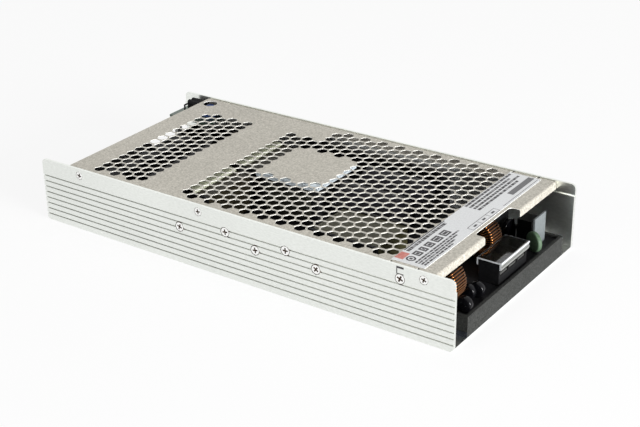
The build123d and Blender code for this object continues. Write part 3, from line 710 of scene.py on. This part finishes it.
# %% One turn of wire
def sweep_turn(made, wire, inner, outer, near, far, corner):
    """Sweep a round wire about the section of a ring. X is the ring's radius, Y its axis."""
    start = Matrix.Translation((inner + corner, near, 0)) @ Matrix.Rotation(math.pi / 2, 4, "Y")
    tip = bmesh.ops.create_circle(made, segments=8, radius=wire, matrix=start)["verts"]
    edges = list({e for v in tip for e in v.link_edges})
    runs = [((outer - inner - 2 * corner, 0, 0), (outer - corner, near + corner, 0)),
            ((0, far - near - 2 * corner, 0), (outer - corner, far - corner, 0)),
            ((inner - outer + 2 * corner, 0, 0), (inner + corner, far - corner, 0)),
            ((0, near - far + 2 * corner, 0), (inner + corner, near + corner, 0))]
    for move, centre in runs:
        drawn = bmesh.ops.extrude_edge_only(made, edges=edges)["geom"]
        bmesh.ops.translate(made, vec=move, verts=points_of(drawn))
        bent = bmesh.ops.spin(made, geom=edges_of(drawn), cent=centre, axis=(0, 0, 1),
                              dvec=(0, 0, 0), angle=math.pi / 2, steps=4, use_merge=False,
                              use_duplicate=False)["geom_last"]
        edges = edges_of(bent)
    bmesh.ops.remove_doubles(made, verts=made.verts[:], dist=0.01)
    bmesh.ops.recalc_face_normals(made, faces=made.faces[:])


turn = bmesh.new()
sweep_turn(turn, wire=0.54, inner=5.2, outer=12.4, near=0.6, far=12.4, corner=1.6)
print("faces of one turn:", len(turn.faces))
turn_mesh = bpy.data.meshes.new("one_turn")
turn.to_mesh(turn_mesh)
turn.free()

# %% [markdown]
# Twenty-two turns a half, each rotated a little from the last. The ring's axis runs across the
# supply.

# %% Wind both rings
def wind_ring(name, node, turns, gap):
    """Copy the turn round a ring, in two halves with a gap above and below."""
    low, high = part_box(node)
    middle = Vector(((low.x + high.x) / 2, low.y, (low.z + high.z) / 2))
    group = bmesh.new()
    for half in (0, 180):
        for k in range(turns):
            angle = half - 90 + gap + k * (180 - 2 * gap) / (turns - 1)
            before = len(group.verts)
            group.from_mesh(turn_mesh)
            group.verts.ensure_lookup_table()
            placed = (Matrix.Translation(middle)
                      @ Matrix.Rotation(math.radians(-angle), 4, "Y") @ Matrix.Scale(MM, 4))
            bmesh.ops.transform(group, matrix=placed, verts=group.verts[before:])
    keep_piece(group, name, [finishes["copper_wire"]], "case", [node],
               smooth=True)


wind_ring("rear_choke_turns", "rear_choke_winding", turns=22, gap=12)
wind_ring("near_choke_turns", "near_choke_winding", turns=22, gap=12)
bpy.data.meshes.remove(turn_mesh)

# %% [markdown]
# ## Dipped discs
#
# Surge limiters and varistors are pressed discs dipped in lacquer, so their rims are round
# and their faces slightly domed. Each side of a disc starts as a circle that is drawn inwards
# and pushed out in steps, and the two sides are merged along the rim.

# %% Lens-shaped discs
DISC_STEPS = ((0.99, 0.27), (0.955, 0.40), (0.88, 0.46), (0.5, 0.50))
LIMITER_PLACES = ((284.4, 21.2), (279.3, 33.7), (282.0, 38.7))
LIMITER_HEIGHT, VARISTOR_HEIGHT = 16.9, 18.4


def add_disc(bm, centre, radius, thickness, turned_by):
    """Add a disc that stands on its rim, its face turned about Z by an angle."""
    made = bmesh.new()
    for side in (1, -1):
        rim = bmesh.ops.create_circle(made, segments=32, radius=radius)["verts"]
        edge = list({e for v in rim for e in v.link_edges})
        size = 1.0
        for reach, rise in DISC_STEPS:
            grown = bmesh.ops.extrude_edge_only(made, edges=edge)["geom"]
            verts = points_of(grown)
            bmesh.ops.scale(made, vec=(reach / size, reach / size, 1), verts=verts)
            for v in verts:
                v.co.z = side * rise * thickness
            size = reach
            edge = edges_of(grown)
        bmesh.ops.contextual_create(made, geom=edge)
    bmesh.ops.remove_doubles(made, verts=made.verts[:], dist=0.001)
    bmesh.ops.recalc_face_normals(made, faces=made.faces[:])
    stand = (Matrix.Rotation(math.radians(turned_by), 4, "Z")
             @ Matrix.Rotation(math.radians(90), 4, "X"))
    bmesh.ops.transform(made, matrix=Matrix.Translation(centre) @ stand @ Matrix.Scale(MM, 4),
                        verts=made.verts[:])
    pour_into(bm, made)


bm = bmesh.new()
for x, y in LIMITER_PLACES:
    add_disc(bm, place(x, y, LIMITER_HEIGHT), radius=4.5, thickness=3.9, turned_by=0)
keep_piece(bm, "limiter_discs", [finishes["black_epoxy"]], "case",
           ["surge_limiters"], smooth=True)

bm = bmesh.new()
add_disc(bm, place(283.4, 102.1, VARISTOR_HEIGHT), radius=6.0, thickness=3.0, turned_by=-27)
first_faces = len(bm.faces)
add_disc(bm, place(263.5, 109.0, VARISTOR_HEIGHT), radius=6.0, thickness=3.0, turned_by=-90)
bm.faces.ensure_lookup_table()
for face in bm.faces[first_faces:]:
    face.material_index = 1
keep_piece(bm, "varistor_discs", [finishes["green_epoxy"], finishes["black_epoxy"]], "case",
           ["varistors"], smooth=True)

# %% [markdown]
# ## The clear cover over the input terminals
#
# It is moulded as a channel that is open at both ends. Its section is drawn once and drawn
# out along the terminals. The front leg is cut into five rows, and two of them are pushed out
# as ribs. The upper rib and the ends take the pale frosted finish, a painted highlight, and the
# rest of the leg is greyer, so the leg shows as one bright line over a grey band.

# %% Clear cover
low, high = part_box("terminal_cover")
WALL = 0.9 * MM
RIB = 0.35 * MM
PAINTED_LIGHT_SLOT, GREY = 1, 2
section = [(low.x, low.z), (low.x, high.z), (high.x, high.z), (high.x, low.z),
           (high.x - WALL, low.z), (high.x - WALL, high.z - WALL),
           (low.x + WALL, high.z - WALL), (low.x + WALL, low.z)]
bm = bmesh.new()
near_end = bm.faces.new([bm.verts.new((x, low.y, z)) for x, z in section])
drawn = bmesh.ops.extrude_face_region(bm, geom=[near_end])["geom"]
bmesh.ops.translate(bm, verts=points_of(drawn), vec=(0, high.y - low.y, 0))
bmesh.ops.recalc_face_normals(bm, faces=bm.faces[:])
upright = [e for e in bm.edges if all(v.co.x > high.x - SAME_PLACE for v in e.verts)
           and abs(e.verts[0].co.z - e.verts[1].co.z) > MM]
bmesh.ops.subdivide_edges(bm, edges=upright, cuts=4, use_grid_fill=True)
rows = [f for f in bm.faces if f.normal.x > 0.9
        and abs(f.calc_center_median().x - high.x) < SAME_PLACE]
rows.sort(key=lambda f: f.calc_center_median().z)
for face in rows:
    face.material_index = GREY
pushed = bmesh.ops.extrude_discrete_faces(bm, faces=[rows[1], rows[4]])["faces"]
for face, slot in zip(pushed, (GREY, PAINTED_LIGHT_SLOT)):
    bmesh.ops.translate(bm, verts=face.verts, vec=(RIB, 0, 0))
    for around in {f for v in face.verts for f in v.link_faces}:
        around.material_index = slot
# The ends take the pale finish too: painted light.
for face in bm.faces:
    if abs(face.normal.y) > 0.9:
        face.material_index = PAINTED_LIGHT_SLOT
keep_piece(bm, "clear_terminal_cover",
           [finishes["clear_plastic"], finishes["frosted_painted_light"], finishes["grey_frosted"]],
           "terminal_cover", ["terminal_cover"])
print("ribs on the front leg:", len(pushed))

# %% [markdown]
# Behind the clear cover a pointed tongue of thin grey film stands on the potting and keeps
# the terminals apart from the parts behind. It is a flat outline with a wall given to it.

# %% Film tongue
TONGUE = [(97.0, 12.4), (105.0, 12.4), (104.6, 22.0), (101.6, 30.0), (100.0, 30.0), (97.4, 22.0)]
TONGUE_X = 270.6


def keep_film(name, points, thickness, finish):
    """Make a piece of flat film from its outline."""
    bm = bmesh.new()
    face = bm.faces.new([bm.verts.new(point) for point in points])
    bmesh.ops.solidify(bm, geom=[face], thickness=thickness * MM)
    bmesh.ops.recalc_face_normals(bm, faces=bm.faces[:])
    keep_piece(bm, name, [finishes[finish]], "case")


keep_film("film_tongue", [place(TONGUE_X, y, z) for y, z in TONGUE], 0.25, "grey_film")

# %% [markdown]
# Two more thin pieces show only through the holes. A flap of tape lies over the rear edge of
# the two resonant chokes; its pale colour is painted light. It is an open strip, drawn out from a
# few points and given a wall. A dark sheet stands before the far wall at the output end, as
# painted shade, and is made like the tongue.

# %% Tape flaps and a dark sheet, seen through the holes
FLAP = [(106.0, 35.75), (104.5, 37.2), (99.0, 37.5), (97.2, 35.5), (97.2, 24.0)]
FLAP_STARTS, FLAP_WIDTH = (19.6, 66.6), 39.8
SHADE_SHEET = [(5, 1.8), (66, 1.8), (66, 25.5), (19.5, 25.5), (5, 16)]
SHADE_SHEET_Y = 126.2


def add_strip(bm, path, drawn_by, thickness):
    """Draw a line of points out into a strip with a wall."""
    verts = [bm.verts.new(point) for point in path]
    line = [bm.edges.new(pair) for pair in zip(verts, verts[1:])]
    made = bmesh.ops.extrude_edge_only(bm, edges=line)["geom"]
    bmesh.ops.translate(bm, verts=points_of(made), vec=drawn_by)
    bmesh.ops.solidify(bm, geom=faces_of(made), thickness=thickness * MM)
    bmesh.ops.recalc_face_normals(bm, faces=bm.faces[:])


bm = bmesh.new()
for y in FLAP_STARTS:
    add_strip(bm, [place(x, y, z) for x, z in FLAP], (0, FLAP_WIDTH * MM, 0), 0.15)
keep_piece(bm, "choke_tape_flaps", [finishes["tape_painted_light"]], "case")

# A dark sheet before the far wall at the output end: painted shade.
keep_film("far_shade_sheet", [place(x, SHADE_SHEET_Y, z) for x, z in SHADE_SHEET], 0.2, "liner_film")

# %% [markdown]
# Three low dark blocks lie in the hooked groove above the earth screw, a little under the
# wall's face. Their dark is painted shade in the groove.

# %% Painted shade in the hooked groove
HOOK_BARS = ((255.8, 260.2, 39.2, 40.4), (255.8, 256.4, 36.4, 39.2), (255.8, 260.2, 35.8, 36.4))
SHADE_FACE, SHADE_BACK = 0.15, 0.65
bm = bmesh.new()
for x0, x1, z0, z1 in HOOK_BARS:
    low, high = place(x0, SHADE_FACE, z0), place(x1, SHADE_BACK, z1)
    bmesh.ops.create_cube(bm, size=1.0, matrix=Matrix.Translation((low + high) / 2)
                          @ Matrix.Diagonal((*(high - low), 1)))
# The dark print finish serves here as painted shade in the groove.
keep_piece(bm, "hook_groove_shade", [finishes["print_dark"]], "case")

# %% [markdown]
# ## The rating label
#
# The label is a thin film across the cover. What is printed on it here is generic: a plain
# red block, short bars in rows where small print would be, plain shapes and an empty
# table. Each mark is a flat quad a few hundredths of a millimetre above the film.

# %% Marks on the label
PRINT_RISE = 0.03
LABEL_TOP = (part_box("rating_label")[1].z - case_low.z) / MM + PRINT_RISE
SMALL_FRAMES = ((14.8, 4.6), (21.0, 3.8), (26.4, 5.4), (33.6, 6.6), (42.0, 6.4))
TABLE_LINES = (66.5, 76.5)
TABLE_BARS = (60.3, 69.9, 80.1)
RING_PLACE = place(258.4, 10.2, LABEL_TOP)
rng = random.Random(7)


def bar(bm, x0, x1, y0, y1):
    """Add one flat printed rectangle."""
    low, high = place(x0, y0, LABEL_TOP), place(x1, y1, LABEL_TOP)
    middle = (low + high) / 2
    size = Matrix.Diagonal(((high.x - low.x) / 2, (high.y - low.y) / 2, 1, 1))
    bmesh.ops.create_grid(bm, x_segments=1, y_segments=1, size=1.0,
                          matrix=Matrix.Translation(middle) @ size)


def small_print(bm, x, tall, y0, y1, longest):
    """Add a row of short bars with gaps, such as small print gives from afar."""
    y = y0
    while y < y1:
        step = rng.uniform(0.5, longest)
        bar(bm, x, x + tall, y, min(y + step, y1))
        y += step + rng.uniform(0.25, 0.6)


def frame_box(bm, x0, x1, y0, y1, line):
    """Add the outline of a rectangle."""
    bar(bm, x0, x0 + line, y0, y1)
    bar(bm, x1 - line, x1, y0, y1)
    bar(bm, x0 + line, x1 - line, y0, y0 + line)
    bar(bm, x0 + line, x1 - line, y1 - line, y1)


bm = bmesh.new()
bar(bm, 250.2, 250.9, 16.5, 58.0)
small_print(bm, 251.5, 2.0, 16.5, 56.0, 2.6)
for y0, long in SMALL_FRAMES:
    frame_box(bm, 255.8, 260.8, y0, y0 + long, 1.1)
    bar(bm, 257.4, 259.2, y0 + 1.4, y0 + long - 1.3)
for row in range(4):
    small_print(bm, 262.2 + row * 1.75, 1.1, 7.5, 52.0 - 5 * row, 3.6)
for row in range(4):
    small_print(bm, 250.6 + row * 2.7, 1.6, 80.0, 133.0 - 6 * (row % 2), 3.8)
frame_box(bm, 265.2, 269.5, 56.5, 86.5, 0.3)
for y in TABLE_LINES:
    bar(bm, 265.5, 269.2, y, y + 0.3)
for y in TABLE_BARS:
    bar(bm, 266.8, 268.0, y, y + 3.2)
bar(bm, 268.3, 268.6, 92.0, 134.0)
keep_piece(bm, "label_small_print", [finishes["print_dark"]], "case")

bm = bmesh.new()
bar(bm, 262.4, 266.2, 108.0, 134.5)
keep_piece(bm, "label_grey_field", [finishes["print_grey"]], "case")

bm = bmesh.new()
bar(bm, 250.2, 255.2, 7.0, 14.6)
keep_piece(bm, "label_red_field", [finishes["print_red"]], "case")

bm = bmesh.new()
disc = bmesh.ops.create_circle(bm, segments=32, radius=2.7 * MM,
                               matrix=Matrix.Translation(RING_PLACE))
outer = list({e for v in disc["verts"] for e in v.link_edges})
inner = bmesh.ops.extrude_edge_only(bm, edges=outer)["geom"]
bmesh.ops.scale(bm, vec=(0.64, 0.64, 1), verts=points_of(inner),
                space=Matrix.Translation(-RING_PLACE))
bar(bm, 257.6, 259.2, 9.3, 11.1)
keep_piece(bm, "label_round_mark", [finishes["print_dark"]], "case")

# %% [markdown]
# ## Floor, light and camera
#
# The photograph was taken in a white sweep. The floor is a plain pale plane. To the camera,
# and in reflections, it is nearly white by itself, but it keeps part of its own shading, so
# the supply still has a soft shadow. The world needs the same test of rays, so it is a helper.

# %% Floor
GLOW_SHARE = 0.85
FLOOR_GAP = 0.2 * MM


def seen_rays(nodes, links):
    """One for rays of the camera, of reflections and of clear plastic, zero for the rest."""
    path = nodes.new("ShaderNodeLightPath")
    value = path.outputs["Is Camera Ray"]
    for kind in ("Is Glossy Ray", "Is Transmission Ray"):
        larger = nodes.new("ShaderNodeMath")
        larger.operation = "MAXIMUM"
        links.new(value, larger.inputs[0])
        links.new(path.outputs[kind], larger.inputs[1])
        value = larger.outputs[0]
    return value


def make_white_sweep():
    """White to the camera and in reflections, plain and pale to all other light."""
    material = bpy.data.materials.new("white_sweep")
    material.use_nodes = True
    nodes, links = material.node_tree.nodes, material.node_tree.links
    shader = nodes["Principled BSDF"]
    shader.inputs["Base Color"].default_value = (0.86, 0.86, 0.86, 1)
    shader.inputs["Roughness"].default_value = 0.9
    shader.inputs["Specular IOR Level"].default_value = 0.0
    glow = nodes.new("ShaderNodeEmission")
    glow.inputs["Strength"].default_value = 1.0
    share = nodes.new("ShaderNodeMath")
    share.operation = "MULTIPLY"
    share.inputs[1].default_value = GLOW_SHARE
    links.new(seen_rays(nodes, links), share.inputs[0])
    both = nodes.new("ShaderNodeMixShader")
    links.new(share.outputs[0], both.inputs["Fac"])
    links.new(shader.outputs[0], both.inputs[1])
    links.new(glow.outputs[0], both.inputs[2])
    links.new(both.outputs[0], nodes["Material Output"].inputs["Surface"])
    return material


bm = bmesh.new()
bmesh.ops.create_grid(bm, x_segments=1, y_segments=1, size=6.0,
                      matrix=Matrix.Translation((0, 0, case_low.z - FLOOR_GAP)))
floor_mesh = bpy.data.meshes.new("floor")
bm.to_mesh(floor_mesh)
bm.free()
floor = bpy.data.objects.new("floor", floor_mesh)
floor_mesh.materials.append(make_white_sweep())
bpy.context.scene.collection.objects.link(floor)

# %% [markdown]
# The world is the rest of the sweep: white where the camera, a reflection or clear plastic
# sees it, and a moderate grey as a source of light.

# %% World
ROOM_LIGHT = 0.42
scene = bpy.context.scene
world = bpy.data.worlds.new("white_room")
scene.world = world
world.use_nodes = True
nodes, links = world.node_tree.nodes, world.node_tree.links
sky = nodes["Background"]
sky.inputs["Color"].default_value = (1, 1, 1, 1)
level = nodes.new("ShaderNodeMapRange")
level.inputs["To Min"].default_value = ROOM_LIGHT
level.inputs["To Max"].default_value = 1.0
links.new(seen_rays(nodes, links), level.inputs["Value"])
links.new(level.outputs["Result"], sky.inputs["Strength"])
print("world:", world.name)

# %% [markdown]
# Three large soft boxes give the shape. The main one stands beyond the input end, so that
# the ends of the walls and the lip are the brightest. The second lights the long near wall,
# and a weak third one lights the top.

# %% Lamps
def soft_box(name, location, target, size, power):
    """A large square area lamp that looks at a point."""
    lamp = bpy.data.lights.new(name, "AREA")
    lamp.shape = "SQUARE"
    lamp.size = size
    lamp.energy = power
    holder = bpy.data.objects.new(name, lamp)
    holder.location = location
    direction = Vector(target) - Vector(location)
    holder.rotation_euler = direction.to_track_quat("-Z", "Y").to_euler()
    scene.collection.objects.link(holder)
    print(name, power, "watts")


soft_box("front_end_box", (1.75, -0.3, 0.33), (0.05, 0, 0.02), size=0.7, power=66)
soft_box("near_wall_box", (-0.5, -1.6, 0.6), (0, 0, 0.02), size=0.9, power=7)
soft_box("top_box", (-0.6, 0.5, 1.7), (0, 0, 0), size=1.2, power=5)

# %% [markdown]
# The camera stands where the photograph was taken from, worked out from the edges of the
# case: about 0.8 m away and 25 degrees above the table, with a short telephoto lens.

# %% Camera
camera_data = bpy.data.cameras.new("camera")
camera_data.sensor_width = 36
camera_data.lens = 74.785
camera_data.shift_x = 0.09375
camera_data.shift_y = -0.00859
camera_data.clip_start = 0.01
camera = bpy.data.objects.new("camera", camera_data)
camera.location = (0.42536, -0.58536, 0.35961)
camera.rotation_euler = [math.radians(a) for a in (64.663, 1.949, 36.982)]
scene.collection.objects.link(camera)
scene.camera = camera
scene.view_settings.view_transform = "Standard"
